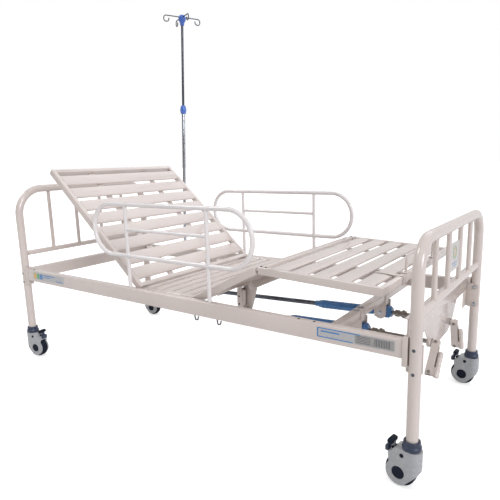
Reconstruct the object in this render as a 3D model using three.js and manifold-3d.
// Two-crank adjustable hospital bed. Millimetres, +Z up, +X towards the foot end, -Y the near side.
// Heights are measured from a datum just under the floor, and the last lines set the bed down on z = 0.
import * as THREE from 'three';
import { mergeVertices } from 'three/addons/utils/BufferGeometryUtils.js';
import Module from 'manifold-3d';

const wasm = await Module();
wasm.setup();

// ---- Driving dimensions ----
const GAP = 0.3;                 // clearance between touching pieces
const LEG_X = 1040;              // leg axes, half of the spacing along the bed
const LEG_Y = 424;               // leg axes, half of the spacing across the bed
const LEG_R = 19;
const LEG_FOOT_Z = 150;          // lower end of the leg tubes
const HEAD_TOP_Z = 912;
const HEAD_BEND_R = 135;
const FOOT_TOP_Z = 794;
const FOOT_BEND_R = 100;
const CROSS_TUBE_R = 12.5;
const HEAD_CROSS_Z = 576;
const FOOT_CROSS_Z = 567;
const BAR_R = 9;
const BAR_PITCH = 165;
const RAIL_TOP_Z = 497;
const RAIL_HEIGHT = 60;
const RAIL_WIDTH = 30;
const RAIL_END_X = 1006;
const DECK_HALF_WIDTH = 402;     // outer faces of the deck frames
const DECK_THICKNESS = 28;
const FRAME_WIDTH = 22;
const SLAT_GAP_SHARE = 0.24;     // gap between slats as a share of their pitch
const BACK_HINGE_X = -170;
const BACK_LENGTH = 784;
const BACK_ANGLE = 41.4;
const THIGH_HINGE_X = 139;
const THIGH_LENGTH = 349;
const THIGH_ANGLE = 26.9;
const CALF_LENGTH = 479;
const CALF_DROP = 2.4;           // the raised calf section still falls towards the foot end
const BACK_SETBACK = 12;         // from the hinge line to the nearest tube
const KNEE_SETBACK = 7;
const GUARD_X = 16.5;
const GUARD_POST_HALF = 226.5;
const GUARD_HALF_LENGTH = 438;
const GUARD_TOP_Z = 861;
const GUARD_BOTTOM_Z = 639;
const GUARD_TUBE_R = 9.5;
const GUARD_POST_R = 8.2;
const GUARD_SOCKET_DEPTH = 50;
const DRIVE_Y = 128;
const DRIVE_PIVOT_X = 731;
const DRIVE_Z = 388;
const DRIVE_SLOPE = 2.3;         // degrees, the push tubes fall towards the head
const LEG_TUBE_REACH = 548;      // from the ear pivot to the eye of each push tube
const BACK_TUBE_REACH = 884;
const LEG_TUBE_INSET = 90;       // from the ear pivot to the inner end of each push tube
const BACK_TUBE_INSET = 145;
const CRANK_ARM_LENGTH = 112;
const FLOOR_Z = 10;
const WHEEL_R = 50;
const HUB_R = 20.5;
const CASTER_TRAIL = 32;
const IV_TILT = 3.1;
const IV_X = -733;
const IV_Y = 454.5;
const HOOK_HEADING = 62;

const HINGE_Z = RAIL_TOP_Z - DECK_THICKNESS / 2;
const RAIL_BOTTOM_Z = RAIL_TOP_Z - RAIL_HEIGHT;
const HALF_TURN = Math.PI;
const QUARTER_TURN = Math.PI / 2;
const radians = THREE.MathUtils.degToRad;
const at = (x, y, z) => new THREE.Vector3(x, y, z);

// ---- Materials ----
function paint(color, roughness, metalness) {
  return new THREE.MeshStandardMaterial({ color, roughness, metalness });
}
const IVORY = paint(0xded6ce, 0.38, 0.1);
const BLUE = paint(0x2f5f98, 0.45, 0.0);
const NAVY = paint(0x2a3448, 0.5, 0.0);
const CHROME = paint(0x9a9ea4, 0.2, 1.0);
const GREY_SHELL = paint(0x8f9296, 0.5, 0.0);
const RUBBER = paint(0x16171c, 0.6, 0.0);
const STEEL = paint(0x7c7468, 0.4, 0.7);
const BADGE = paint(0xe4e2da, 0.35, 0.0);

// ---- Geometry helpers ----
function solid(geometry) {
  const bare = geometry.clone();
  bare.deleteAttribute('normal');
  bare.deleteAttribute('uv');
  const merged = mergeVertices(bare, 1e-4);
  return new wasm.Manifold(new wasm.Mesh({
    numProp: 3,
    vertProperties: new Float32Array(merged.attributes.position.array),
    triVerts: new Uint32Array(merged.index.array),
  }));
}

function geometryOf(body) {
  const mesh = body.getMesh();
  const geometry = new THREE.BufferGeometry();
  geometry.setAttribute('position', new THREE.BufferAttribute(mesh.vertProperties, 3));
  geometry.setIndex(new THREE.BufferAttribute(mesh.triVerts, 1));
  geometry.computeVertexNormals();
  return geometry;
}

function joined(...geometries) {
  return geometryOf(geometries.map(solid).reduce((whole, next) => whole.add(next)));
}

function cut(geometry, ...tools) {
  return geometryOf(tools.map(solid).reduce((whole, next) => whole.subtract(next), solid(geometry)));
}

function slab(x0, x1, y0, y1, z0, z1) {
  const box = new THREE.BoxGeometry(x1 - x0, y1 - y0, z1 - z0);
  return box.translate((x0 + x1) / 2, (y0 + y1) / 2, (z0 + z1) / 2);
}

function rod(from, to, radius, sides = 14, endRadius = radius) {
  const along = to.clone().sub(from);
  const bar = new THREE.CylinderGeometry(endRadius, radius, along.length(), sides);
  const turn = new THREE.Quaternion().setFromUnitVectors(at(0, 1, 0), along.clone().normalize());
  return bar.applyQuaternion(turn).translate(...from.clone().add(to).multiplyScalar(0.5));
}

// A polyline whose corners are rounded into arcs, sampled only where it bends.
class BentPath extends THREE.Curve {
  constructor(corners, bendRadius, arcSteps) {
    super();
    this.stations = [corners[0]];
    this.headings = [corners[1].clone().sub(corners[0]).normalize()];
    for (let i = 1; i < corners.length - 1; i += 1) {
      this.addBend(corners[i - 1], corners[i], corners[i + 1], bendRadius, arcSteps);
    }
    const last = corners[corners.length - 1];
    this.stations.push(last);
    this.headings.push(last.clone().sub(corners[corners.length - 2]).normalize());
  }

  addBend(before, corner, after, bendRadius, arcSteps) {
    const inward = corner.clone().sub(before).normalize();
    const outward = after.clone().sub(corner).normalize();
    const angle = inward.angleTo(outward);
    const reach = bendRadius * Math.tan(angle / 2);
    const start = corner.clone().addScaledVector(inward, -reach);
    const side = outward.clone().addScaledVector(inward, -outward.dot(inward)).normalize();
    for (let step = 0; step <= arcSteps; step += 1) {
      const turned = (angle * step) / arcSteps;
      const point = start.clone().addScaledVector(inward, bendRadius * Math.sin(turned));
      this.stations.push(point.addScaledVector(side, bendRadius * (1 - Math.cos(turned))));
      const heading = inward.clone().multiplyScalar(Math.cos(turned));
      this.headings.push(heading.addScaledVector(side, Math.sin(turned)));
    }
  }

  getUtoTmapping(u) {
    return u;
  }

  getPoint(t) {
    return this.stations[Math.round(t * (this.stations.length - 1))].clone();
  }

  getTangent(t) {
    return this.headings[Math.round(t * (this.stations.length - 1))].clone();
  }
}

function ringShape(radius, sides) {
  const corner = (i) => new THREE.Vector2(
    radius * Math.cos((2 * HALF_TURN * i) / sides),
    radius * Math.sin((2 * HALF_TURN * i) / sides),
  );
  return new THREE.Shape([...Array(sides).keys()].map(corner));
}

function bentTube(corners, bendRadius, tubeRadius, sides = 16, arcSteps = 6) {
  const path = new BentPath(corners, bendRadius, arcSteps);
  const steps = path.stations.length - 1;
  return new THREE.ExtrudeGeometry(ringShape(tubeRadius, sides), { steps, extrudePath: path });
}

// An outline in the X-Z plane, made `width` thick about y = middleY.
function sidePlate(outline, middleY, width) {
  const shape = outline instanceof THREE.Shape ? outline : new THREE.Shape(outline);
  const plate = new THREE.ExtrudeGeometry(shape, { depth: width, bevelEnabled: false, curveSegments: 12 });
  return plate.rotateX(QUARTER_TURN).translate(0, middleY + width / 2, 0);
}

// An outline in the Y-Z plane, made `width` thick from x = startX towards +X.
function crossPlate(outline, startX, width) {
  const plate = new THREE.ExtrudeGeometry(outline, { depth: width, bevelEnabled: false, curveSegments: 8 });
  return plate.rotateY(QUARTER_TURN).rotateX(QUARTER_TURN).translate(startX, 0, 0);
}

function turned(profile, sides = 24) {
  const points = profile.map(([radius, height]) => new THREE.Vector2(radius, height));
  return new THREE.LatheGeometry(points, sides).rotateX(QUARTER_TURN);
}

const bed = new THREE.Group();

function add(parent, name, geometry, material) {
  const mesh = new THREE.Mesh(geometry, material);
  mesh.name = name;
  parent.add(mesh);
  return mesh;
}

// ---- End frames ----
function endHoop(x, topZ, bendRadius) {
  const corners = [
    at(x, -LEG_Y, LEG_FOOT_Z), at(x, -LEG_Y, topZ), at(x, LEG_Y, topZ), at(x, LEG_Y, LEG_FOOT_Z),
  ];
  return bentTube(corners, bendRadius, LEG_R, 16, 5);
}

function endGrille(x, crossZ, topZ) {
  const reach = LEG_Y - LEG_R - GAP;
  const parts = [rod(at(x, -reach, crossZ), at(x, reach, crossZ), CROSS_TUBE_R)];
  for (let i = 0; i < 4; i += 1) {
    const y = (i - 1.5) * BAR_PITCH;
    parts.push(rod(at(x, y, crossZ), at(x, y, topZ - LEG_R - GAP), BAR_R, 12));
  }
  return joined(...parts);
}

function badgePlate() {
  const halfWidth = BAR_PITCH / 2 - BAR_R - GAP;
  const [bottomZ, topZ, thickness] = [626, 729, 4];
  return slab(LEG_X - thickness / 2, LEG_X + thickness / 2, -halfWidth, halfWidth, bottomZ, topZ);
}

function headBeam() {
  const reach = LEG_Y - LEG_R - GAP;
  return slab(-LEG_X - 15, -LEG_X + 15, -reach, reach, 434, 494);
}

// Folded sheet below the foot board: it dips in the middle for the crank shafts and is bolted to the legs.
const PANEL_X = 1006;
const PANEL_SHEET = 3;
function footPanel() {
  const [topZ, wingZ, dipZ] = [553, 457, 360];
  const [halfWidth, wingY, dipY] = [404, 218, 91];
  const outline = new THREE.Shape([
    new THREE.Vector2(-halfWidth, topZ), new THREE.Vector2(-halfWidth, wingZ),
    new THREE.Vector2(-wingY, wingZ), new THREE.Vector2(-dipY - 62, dipZ + 22),
    new THREE.Vector2(-dipY, dipZ), new THREE.Vector2(dipY, dipZ),
    new THREE.Vector2(dipY + 62, dipZ + 22), new THREE.Vector2(wingY, wingZ),
    new THREE.Vector2(halfWidth, wingZ), new THREE.Vector2(halfWidth, topZ),
  ]);
  const back = PANEL_X - 22;
  const front = PANEL_X + PANEL_SHEET;
  const parts = [
    crossPlate(outline, PANEL_X, PANEL_SHEET),
    slab(back, front, -dipY, dipY, dipZ, dipZ + PANEL_SHEET),
    slab(back, front, -halfWidth, halfWidth, topZ - PANEL_SHEET, topZ),
  ];
  const across = (y, startX, endX, radius) => rod(at(startX, y, DRIVE_Z), at(endX, y, DRIVE_Z), radius, 16);
  for (const y of [-DRIVE_Y, DRIVE_Y]) {
    parts.push(across(y, PANEL_X - 12, PANEL_X + 1, 19));
  }
  for (const side of [-1, 1]) {
    parts.push(panelGusset(side));
  }
  const shaftHoles = [-DRIVE_Y, DRIVE_Y].map((y) => across(y, PANEL_X - 30, PANEL_X + 30, 10));
  return cut(joined(...parts), ...shaftHoles);
}

// A plate beside the leg, with the heads of the two bolts that pass through the leg.
function panelGusset(side) {
  const sheet = 3;
  const plateY = side * (LEG_Y - LEG_R - GAP - sheet / 2);
  const webY = side * 340;
  const outline = [[PANEL_X, 480], [PANEL_X, 384], [1030, 378], [1058, 386], [1058, 478], [1030, 486]];
  const plate = sidePlate(outline.map(([x, z]) => new THREE.Vector2(x, z)), plateY, sheet);
  const heads = [470, 394].map((z) => rod(at(LEG_X, plateY, z), at(LEG_X, plateY - side * 8, z), 7, 6));
  const web = slab(
    PANEL_X, PANEL_X + PANEL_SHEET,
    Math.min(webY, plateY), Math.max(webY, plateY),
    384, 470,
  );
  return joined(plate, web, ...heads);
}

// ---- Side rails and cross beams ----
function sideRail(side) {
  const y = side * LEG_Y;
  const half = RAIL_WIDTH / 2;
  const tube = slab(-RAIL_END_X, RAIL_END_X, y - half, y + half, RAIL_BOTTOM_Z, RAIL_TOP_Z);
  const plateEnd = LEG_X - LEG_R - GAP;
  const endPlates = [-1, 1].map((end) => {
    const [inner, outer] = [end * (RAIL_END_X - 2), end * plateEnd].sort((a, b) => a - b);
    return slab(inner, outer, y - 18, y + 18, RAIL_BOTTOM_Z - 24, RAIL_TOP_Z + 8);
  });
  const sockets = [-1, 1].map((end) => {
    const x = GUARD_X + end * GUARD_POST_HALF;
    return rod(at(x, y, RAIL_TOP_Z - GUARD_SOCKET_DEPTH - 4), at(x, y, RAIL_TOP_Z + 5), GUARD_POST_R + 0.8);
  });
  return cut(joined(tube, ...endPlates), ...sockets);
}

const BEAM_TOP_Z = 466;
const BEAM_BOTTOM_Z = 436;
function footCrossbeam() {
  const reach = LEG_Y - RAIL_WIDTH / 2 - GAP;
  const halfWidth = 18;
  const [startX, endX] = [DRIVE_PIVOT_X - halfWidth, DRIVE_PIVOT_X + halfWidth];
  const beam = slab(startX, endX, -reach, reach, BEAM_BOTTOM_Z, BEAM_TOP_Z);
  const parts = [beam];
  for (const y of [-DRIVE_Y, DRIVE_Y]) {
    parts.push(driveEar(y, -1), driveEar(y, 1));
    parts.push(slab(endX - 1, endX + 3, y - 22, y + 22, 420, 462));
  }
  return joined(...parts);
}

// One hanging ear of the drive's fork, with its pivot bolt and the bolt that clamps it to the beam.
function driveEar(y, hand) {
  const radius = 26;
  const earY = y + hand * 27;
  const boltX = DRIVE_PIVOT_X + 8;
  const boltY = y + hand * 20;
  return joined(
    slab(DRIVE_PIVOT_X - radius, DRIVE_PIVOT_X + radius, earY - 2, earY + 2, DRIVE_Z, BEAM_BOTTOM_Z + 2),
    rod(at(DRIVE_PIVOT_X, earY - 2, DRIVE_Z), at(DRIVE_PIVOT_X, earY + 2, DRIVE_Z), radius, 18),
    rod(at(DRIVE_PIVOT_X, earY, DRIVE_Z), at(DRIVE_PIVOT_X, earY + hand * 8, DRIVE_Z), 8, 6),
    rod(at(boltX, boltY, BEAM_TOP_Z - 1), at(boltX, boltY, BEAM_TOP_Z + 7), 8, 6),
  );
}

// ---- Deck sections, built flat from their hinge line and then turned ----
function deckFrame(start, end, halfWidth = DECK_HALF_WIDTH) {
  const half = DECK_THICKNESS / 2;
  const outer = slab(start, end, -halfWidth, halfWidth, -half, half);
  const inner = halfWidth - FRAME_WIDTH;
  return cut(outer, slab(start + FRAME_WIDTH, end - FRAME_WIDTH, -inner, inner, -half - 5, half + 5));
}

function slat(start, width, length) {
  const half = DECK_THICKNESS / 2;
  const [rim, crown] = [half - 4, half - 1];
  const [bottom, flank] = [half - 11, width * 0.27];
  const outline = [
    [start, bottom], [start + width, bottom], [start + width, rim], [start + width - flank, rim],
    [start + width - flank - 6, crown], [start + flank + 6, crown], [start + flank, rim], [start, rim],
  ];
  return sidePlate(outline.map(([x, z]) => new THREE.Vector2(x, z)), 0, length);
}

function slatPanel(start, end, count) {
  const from = start + FRAME_WIDTH;
  const to = end - FRAME_WIDTH;
  const pitch = (to - from) / (count + SLAT_GAP_SHARE);
  const gap = pitch * SLAT_GAP_SHARE;
  const length = 2 * (DECK_HALF_WIDTH - FRAME_WIDTH - GAP);
  const half = DECK_THICKNESS / 2;
  const parts = [-180, 180].map((y) => slab(from + GAP, to - GAP, y - 17, y + 17, half - 18, half - 9));
  for (let i = 0; i < count; i += 1) {
    parts.push(slat(from + gap + i * pitch, pitch - gap, length));
  }
  return joined(...parts);
}

function seatSection() {
  const seat = new THREE.Group();
  seat.position.set(0, 0, HINGE_Z);
  const [start, end] = [BACK_HINGE_X + BACK_SETBACK, THIGH_HINGE_X - KNEE_SETBACK];
  add(seat, 'seat_frame', deckFrame(start, end), IVORY);
  add(seat, 'seat_slats', slatPanel(start, end, 4), IVORY);
  bed.add(seat);
}

function leverPlates(outline, driveY) {
  return [-1, 1].map((hand) => sidePlate(outline, driveY + hand * 17, 5));
}

function backSection() {
  const back = new THREE.Group();
  back.position.set(BACK_HINGE_X, 0, HINGE_Z);
  back.rotation.y = radians(BACK_ANGLE);
  add(back, 'back_frame', deckFrame(-BACK_LENGTH, -BACK_SETBACK), IVORY);
  add(back, 'back_slats', slatPanel(-BACK_LENGTH, -BACK_SETBACK, 8), IVORY);
  const under = -DECK_THICKNESS / 2 - GAP;
  const outline = [
    [-60, under - 6], [-14, under - 6], [0, -30], [62, -62], [100, -78], [113, -92],
    [104, -108], [84, -108], [-30, -62], [-60, -44],
  ];
  const plates = leverPlates(outline.map(([x, z]) => new THREE.Vector2(x, z)), DRIVE_Y);
  const foot = slab(-70, -14, DRIVE_Y - 30, DRIVE_Y + 30, under - 8, under);
  const bolts = [-1, 1].map((hand) => {
    const y = DRIVE_Y + hand * 19;
    return rod(at(96, y, -93), at(96, y + hand * 7, -93), 8, 6);
  });
  add(back, 'back_lever', joined(foot, ...plates, ...bolts), IVORY);
  bed.add(back);
}

function thighSection() {
  const thigh = new THREE.Group();
  thigh.position.set(THIGH_HINGE_X, 0, HINGE_Z);
  thigh.rotation.y = -radians(THIGH_ANGLE);
  const [start, end] = [KNEE_SETBACK, THIGH_LENGTH - KNEE_SETBACK];
  add(thigh, 'thigh_frame', deckFrame(start, end), IVORY);
  add(thigh, 'thigh_slats', slatPanel(start, end, 4), IVORY);
  add(thigh, 'leg_lever', legLever(), IVORY);
  addCalfSection(thigh);
  bed.add(thigh);
}

// A narrow strut and a wide plate with a rounded nose between them, hung from a channel under the thigh.
function legLever() {
  const under = -DECK_THICKNESS / 2 - GAP;
  const outline = [
    [34, under - 4], [112, under - 4], [96, -52], [42, -110], [10, -138],
    [-14, -146], [-30, -134], [-26, -112], [4, -72],
  ];
  const strut = [
    [20, under - 4], [46, under - 4], [14, -92], [4, -140],
    [-14, -146], [-30, -134], [-26, -112], [-6, -66],
  ];
  const plate = (points, y) => sidePlate(points.map(([x, z]) => new THREE.Vector2(x, z)), y, 5);
  const plates = [plate(strut, -DRIVE_Y - 17), plate(outline, -DRIVE_Y + 17)];
  const channel = joined(
    slab(28, 118, -DRIVE_Y - 26, -DRIVE_Y + 26, under - 6, under),
    slab(88, 118, -DRIVE_Y - 26, 210, under - 34, under),
  );
  const nose = rod(at(34, -DRIVE_Y, -30), at(-5, -DRIVE_Y, -97), 14.8, 16);
  const bolts = [-1, 1].map((hand) => {
    const y = -DRIVE_Y + hand * 19;
    return rod(at(-12, y, -128), at(-12, y + hand * 7, -128), 8, 6);
  });
  return joined(channel, nose, ...plates, ...bolts);
}

function addCalfSection(thigh) {
  const calf = new THREE.Group();
  calf.position.set(THIGH_LENGTH, 0, 0);
  calf.rotation.y = radians(THIGH_ANGLE + CALF_DROP);
  add(calf, 'calf_frame', deckFrame(KNEE_SETBACK, CALF_LENGTH), IVORY);
  add(calf, 'calf_slats', slatPanel(KNEE_SETBACK, CALF_LENGTH, 5), IVORY);
  const x = CALF_LENGTH - FRAME_WIDTH / 2;
  const baseZ = DECK_THICKNESS / 2 + GAP;
  const corners = [at(x, -160, baseZ), at(x, -160, baseZ + 62), at(x, 160, baseZ + 62), at(x, 160, baseZ)];
  const loop = bentTube(corners, 18, 4.5, 8, 3);
  const feet = [-160, 160].map((y) => slab(x - 10, x + 10, y - 16, y + 16, baseZ, baseZ + 3));
  add(calf, 'mattress_stop', joined(loop, ...feet), IVORY);
  thigh.add(calf);
}

// ---- Screw drives ----
const SLEEVE_END = -30;          // along the drive, from the ear pivot towards the head
const SLEEVE_START = -318;
function driveUnit(side, label, tubeReach, tubeInset) {
  const drive = new THREE.Group();
  drive.position.set(DRIVE_PIVOT_X, side * DRIVE_Y, DRIVE_Z);
  drive.rotation.y = -radians(DRIVE_SLOPE);
  const sleeveProfile = [
    [0, SLEEVE_END], [15, SLEEVE_END], [18.5, SLEEVE_END - 14], [18.5, SLEEVE_START + 38],
    [16, SLEEVE_START + 20], [13, SLEEVE_START + 14], [13, SLEEVE_START], [0, SLEEVE_START],
  ];
  const alongX = (profile, sides) => turned(profile.toReversed(), sides).rotateY(QUARTER_TURN);
  const bore = rod(at(SLEEVE_START - 10, 0, 0), at(SLEEVE_END - 20, 0, 0), 10.8, 14);
  add(drive, `${label}_sleeve`, cut(alongX(sleeveProfile, 18), bore), BLUE);
  const housing = joined(
    slab(SLEEVE_END + GAP, 38, -21, 21, -22, 22),
    rod(at(37, 0, 0), at(44, 0, 0), 21, 20),
  );
  add(drive, `${label}_housing`, housing, BLUE);
  const tube = rod(at(-tubeReach, 0, 0), at(-tubeInset, 0, 0), 10.2, 14);
  const eye = rod(at(-tubeReach, -10, 0), at(-tubeReach, 10, 0), 14, 14);
  add(drive, `${label}_push_tube`, joined(tube, eye), CHROME);
  bed.add(drive);
  crankShaft(side, label);
}

// Universal joint behind the panel, then the shaft through it to the crank's knuckle.
const SHAFT_END_X = PANEL_X + PANEL_SHEET + 2;
function crankShaft(side, label) {
  const y = side * DRIVE_Y;
  const startX = DRIVE_PIVOT_X + 46;
  const along = (fromX, toX, radius) => rod(at(fromX, y, DRIVE_Z), at(toX, y, DRIVE_Z), radius, 12);
  const pinReach = 17;
  const joint = [
    along(startX, startX + 12, 9),
    along(startX + 11, startX + 57, 14.5),
    along(startX + 56, SHAFT_END_X - 1, 8),
    along(PANEL_X + PANEL_SHEET + GAP, SHAFT_END_X, 13),
    rod(at(startX + 22, y - pinReach, DRIVE_Z), at(startX + 22, y + pinReach, DRIVE_Z), 5, 8),
    rod(at(startX + 46, y, DRIVE_Z - pinReach), at(startX + 46, y, DRIVE_Z + pinReach), 5, 8),
  ];
  add(bed, `${label}_shaft`, joined(...joint), STEEL);
}

// The crank in its stowed state: the arm hangs in front of the panel and the grip is folded up beside it.
function crank(side, label, swing) {
  const group = new THREE.Group();
  group.position.set(SHAFT_END_X + GAP, side * DRIVE_Y, DRIVE_Z);
  group.rotation.x = radians(swing);
  const [width, depth, wall] = [22, 26, 3];
  const lower = -CRANK_ARM_LENGTH;
  const half = width / 2;
  const block = slab(0, depth, -half, half, lower, 0);
  const ends = [0, lower].map((z) => rod(at(0, 0, z), at(depth, 0, z), half, 14));
  const channel = slab(wall, depth + 5, wall - half, half - wall, lower - 20, -15);
  const hollow = solid(joined(block, ...ends)).subtract(solid(channel));
  const pins = [0, lower].map((z) => rod(at(depth / 2, -half - 3, z), at(depth / 2, half + 3, z), 4, 8));
  const arm = pins.map(solid).reduce((whole, pin) => whole.add(pin), hollow);
  add(group, `${label}_crank_arm`, geometryOf(arm), IVORY);
  add(group, `${label}_crank_grip`, crankGrip(depth, half - wall - GAP, lower), IVORY);
  bed.add(group);
}

// The tongue sits inside the arm's channel, short of the pin; the tube lies along the arm's open side.
function crankGrip(depth, tongueHalf, lower) {
  const gripX = depth + 10;
  const hubEnd = lower - 12;
  return joined(
    slab(depth / 2 + 6, gripX, -tongueHalf, tongueHalf, lower - 8, lower + 22),
    rod(at(gripX, 0, hubEnd), at(gripX, 0, lower + 16), 9.6, 14),
    rod(at(gripX, 0, lower + 15), at(gripX, 0, -32), 8, 14, 9),
  );
}

// ---- Guard rails ----
function guardRail(side) {
  const y = side * LEG_Y;
  const bendRadius = (GUARD_TOP_Z - GUARD_BOTTOM_Z) / 2 - 0.5;
  const half = (end) => bentTube([
    at(GUARD_X - end, y, GUARD_TOP_Z), at(GUARD_X + end * GUARD_HALF_LENGTH, y, GUARD_TOP_Z),
    at(GUARD_X + end * GUARD_HALF_LENGTH, y, GUARD_BOTTOM_Z), at(GUARD_X - end, y, GUARD_BOTTOM_Z),
  ], bendRadius, GUARD_TUBE_R, 8, 6);
  const parts = [half(-1), half(1)];
  for (const end of [-1, 1]) {
    const x = GUARD_X + end * GUARD_POST_HALF;
    parts.push(rod(at(x, y, RAIL_TOP_Z - GUARD_SOCKET_DEPTH), at(x, y, GUARD_TOP_Z), GUARD_POST_R, 8));
  }
  const middleZ = (GUARD_TOP_Z + GUARD_BOTTOM_Z) / 2 + 4;
  parts.push(rod(at(GUARD_X - GUARD_POST_HALF, y, middleZ), at(GUARD_X + GUARD_POST_HALF, y, middleZ), 7, 6));
  return joined(...parts);
}

// ---- Casters ----
const AXLE_Z = FLOOR_Z + WHEEL_R;
function casterCollar() {
  return turned([
    [0, 142], [27, 142], [30, 147], [30, 156], [26.5, 160], [25.5, 173],
    [LEG_R + 1, 173], [LEG_R + 1, LEG_FOOT_Z - GAP], [0, LEG_FOOT_Z - GAP],
  ], 18);
}

function casterHousing() {
  const outline = new THREE.Shape();
  const shellR = WHEEL_R - 3;
  const lowAngle = -radians(62);
  const highAngle = radians(140);
  outline.moveTo(34, 141.5);
  outline.lineTo(-41, 141.5);
  outline.lineTo(-46, 128);
  outline.lineTo(-64, 121);
  outline.absarc(-CASTER_TRAIL, AXLE_Z, shellR, highAngle, 2 * HALF_TURN + lowAngle, false);
  outline.lineTo(27, 66);
  outline.lineTo(36, 92);
  const halfWidth = 26;
  const shell = sidePlate(outline, 0, 2 * halfWidth);
  const across = (reach, radius, sides) => (
    rod(at(-CASTER_TRAIL, -reach, AXLE_Z), at(-CASTER_TRAIL, reach, AXLE_Z), radius, sides)
  );
  const wheelRoom = across(17, WHEEL_R + 4, 20);
  const lowerRoom = slab(-CASTER_TRAIL - 90, -CASTER_TRAIL, -17, 17, -5, AXLE_Z);
  const axleHole = across(40, HUB_R + 0.8, 16);
  const pedalSlot = slab(-100, -48, -9, 9, 117, 160);
  return cut(shell, wheelRoom, lowerRoom, axleHole, pedalSlot);
}

function casterWheel() {
  const shoulderR = WHEEL_R - 5;
  return turned([
    [0, -27.5], [HUB_R, -27.5], [HUB_R, -13], [shoulderR, -13], [WHEEL_R, -6],
    [WHEEL_R, 6], [shoulderR, 13], [HUB_R, 13], [HUB_R, 27.5], [0, 27.5],
  ], 24).rotateX(QUARTER_TURN);
}

function brakePedal() {
  const tread = slab(-13, 13, -17, 17, -6, 6).rotateY(radians(35)).translate(-60, 0, 150);
  const stem = slab(-64, -52, -8.4, 8.4, 127, 148);
  const pin = rod(at(-57, -8.4, 127), at(-57, 8.4, 127), 7, 12);
  return joined(tread, stem, pin);
}

function caster(label, x, y, heading) {
  const group = new THREE.Group();
  group.position.set(x, y, 0);
  add(group, `caster_${label}_collar`, casterCollar(), NAVY);
  const fork = new THREE.Group();
  fork.rotation.z = radians(heading - 180);
  add(fork, `caster_${label}_housing`, casterHousing(), GREY_SHELL);
  add(fork, `caster_${label}_pedal`, brakePedal(), RUBBER);
  const wheel = add(fork, `caster_${label}_wheel`, casterWheel(), RUBBER);
  wheel.position.set(-CASTER_TRAIL, 0, AXLE_Z);
  group.add(fork);
  bed.add(group);
}

// ---- Infusion pole ----
function infusionPole() {
  const pole = new THREE.Group();
  pole.position.set(IV_X, IV_Y, 0);
  pole.rotation.y = radians(IV_TILT);
  bed.add(pole);
  const [lowerR, upperR] = [9.5, 7];
  const socketBase = 392;
  const socket = cut(
    rod(at(0, 0, socketBase), at(0, 0, 512), 13.5, 20),
    rod(at(0, 0, socketBase + 12), at(0, 0, 520), lowerR + GAP, 20),
  );
  const socketMesh = add(bed, 'iv_socket', ivBracket(socket, pole), IVORY);
  socketMesh.position.copy(pole.position);
  socketMesh.rotation.copy(pole.rotation);
  const kneeZ = 1345;
  const lowerTube = cut(
    rod(at(0, 0, socketBase + 12 + GAP), at(0, 0, kneeZ - 16), lowerR, 20),
    rod(at(0, 0, socketBase + 60), at(0, 0, kneeZ), upperR + 0.5, 16),
  );
  add(pole, 'iv_lower_tube', lowerTube, CHROME);
  const knob = cut(
    turned([
      [0, kneeZ - 26], [15, kneeZ - 26], [19, kneeZ - 4], [15, kneeZ + 18], [10, kneeZ + 24], [0, kneeZ + 24],
    ], 14),
    rod(at(0, 0, kneeZ - 40), at(0, 0, kneeZ - 14), lowerR + GAP, 20),
    rod(at(0, 0, kneeZ - 30), at(0, 0, kneeZ + 40), upperR + GAP, 16),
  );
  add(pole, 'iv_knob', knob, BLUE);
  add(pole, 'iv_upper_tube', rod(at(0, 0, 1000), at(0, 0, HUB_Z - GAP), upperR, 16), CHROME);
  add(pole, 'iv_hook_head', hookHead(), BLUE);
}

// A block that carries the socket on the outer face of the far rail.
function ivBracket(socket, pole) {
  const facing = slab(-20, 20, LEG_Y + RAIL_WIDTH / 2 + GAP - IV_Y, 0, 444, 490);
  const upright = facing.clone().rotateY(-pole.rotation.y);
  const room = rod(at(0, 0, 404), at(0, 0, 520), 9.5 + GAP, 20);
  return cut(joined(upright, socket), room);
}

// A bulb-shaped hub with four wire hooks: each runs out level and then curls down and back.
const HUB_Z = 1812;
function hookHead() {
  const hub = [
    [0, HUB_Z], [11.5, HUB_Z], [12.5, HUB_Z + 16], [21, HUB_Z + 28],
    [22, HUB_Z + 42], [16, HUB_Z + 56], [0, HUB_Z + 62],
  ];
  const parts = [turned(hub, 14)];
  const [armZ, curlX, curlR, wireR] = [HUB_Z + 46, 93, 16, 2.6];
  for (let i = 0; i < 4; i += 1) {
    const hook = bentTube([
      at(8, 0, armZ), at(curlX + curlR, 0, armZ), at(curlX + curlR, 0, armZ - 2 * curlR),
      at(curlX - curlR + 2, 0, armZ - 2 * curlR), at(curlX - curlR + 2, 0, armZ - curlR),
    ], curlR - 2, wireR, 6, 3);
    parts.push(hook.rotateZ(radians(HOOK_HEADING) + i * QUARTER_TURN));
  }
  return joined(...parts);
}

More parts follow.
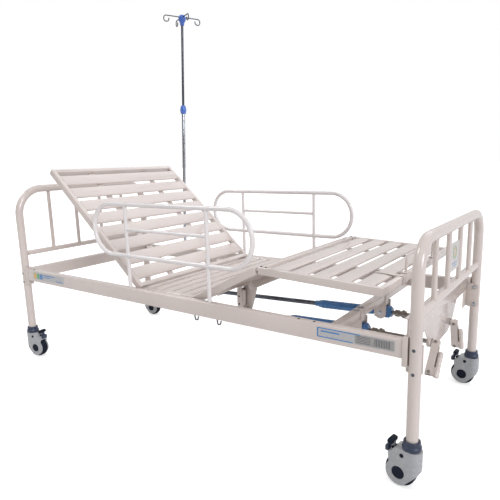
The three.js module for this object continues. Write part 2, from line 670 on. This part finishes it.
// ---- Drainage-bag hooks under the near rail ----
function bagHook(x) {
  const y = -LEG_Y;
  const top = RAIL_BOTTOM_Z - GAP;
  const corners = [at(x, y, top), at(x + 3, y, top - 24), at(x + 16, y, top - 22), at(x + 20, y, top - 8)];
  return joined(bentTube(corners, 5, 2.6, 6, 2), rod(at(x, y, top - 3), at(x, y, top), 6, 8));
}

// ---- Assembly ----
add(bed, 'head_hoop', endHoop(-LEG_X, HEAD_TOP_Z, HEAD_BEND_R), IVORY);
add(bed, 'head_grille', endGrille(-LEG_X, HEAD_CROSS_Z, HEAD_TOP_Z), IVORY);
add(bed, 'head_beam', headBeam(), IVORY);
add(bed, 'foot_hoop', endHoop(LEG_X, FOOT_TOP_Z, FOOT_BEND_R), IVORY);
add(bed, 'foot_grille', endGrille(LEG_X, FOOT_CROSS_Z, FOOT_TOP_Z), IVORY);
add(bed, 'badge_plate', badgePlate(), BADGE);
add(bed, 'foot_panel', footPanel(), IVORY);
add(bed, 'rail_near', sideRail(-1), IVORY);
add(bed, 'rail_far', sideRail(1), IVORY);
add(bed, 'foot_crossbeam', footCrossbeam(), IVORY);
seatSection();
backSection();
thighSection();
driveUnit(-1, 'leg_drive', LEG_TUBE_REACH, LEG_TUBE_INSET);
driveUnit(1, 'back_drive', BACK_TUBE_REACH, BACK_TUBE_INSET);
crank(-1, 'leg_drive', -42);
crank(1, 'back_drive', 20);
add(bed, 'guard_near', guardRail(-1), IVORY);
add(bed, 'guard_far', guardRail(1), IVORY);
caster('head_near', -LEG_X, -LEG_Y, 12);
caster('head_far', -LEG_X, LEG_Y, 8);
caster('foot_near', LEG_X, -LEG_Y, 172);
caster('foot_far', LEG_X, LEG_Y, 178);
infusionPole();
add(bed, 'bag_hook_1', bagHook(161), CHROME);
add(bed, 'bag_hook_2', bagHook(276), CHROME);

// The origin moves to the floor under the middle of the bounding box.
const middle = new THREE.Box3().setFromObject(bed).getCenter(new THREE.Vector3());
bed.position.set(-middle.x, -middle.y, -FLOOR_Z);

export default bed;
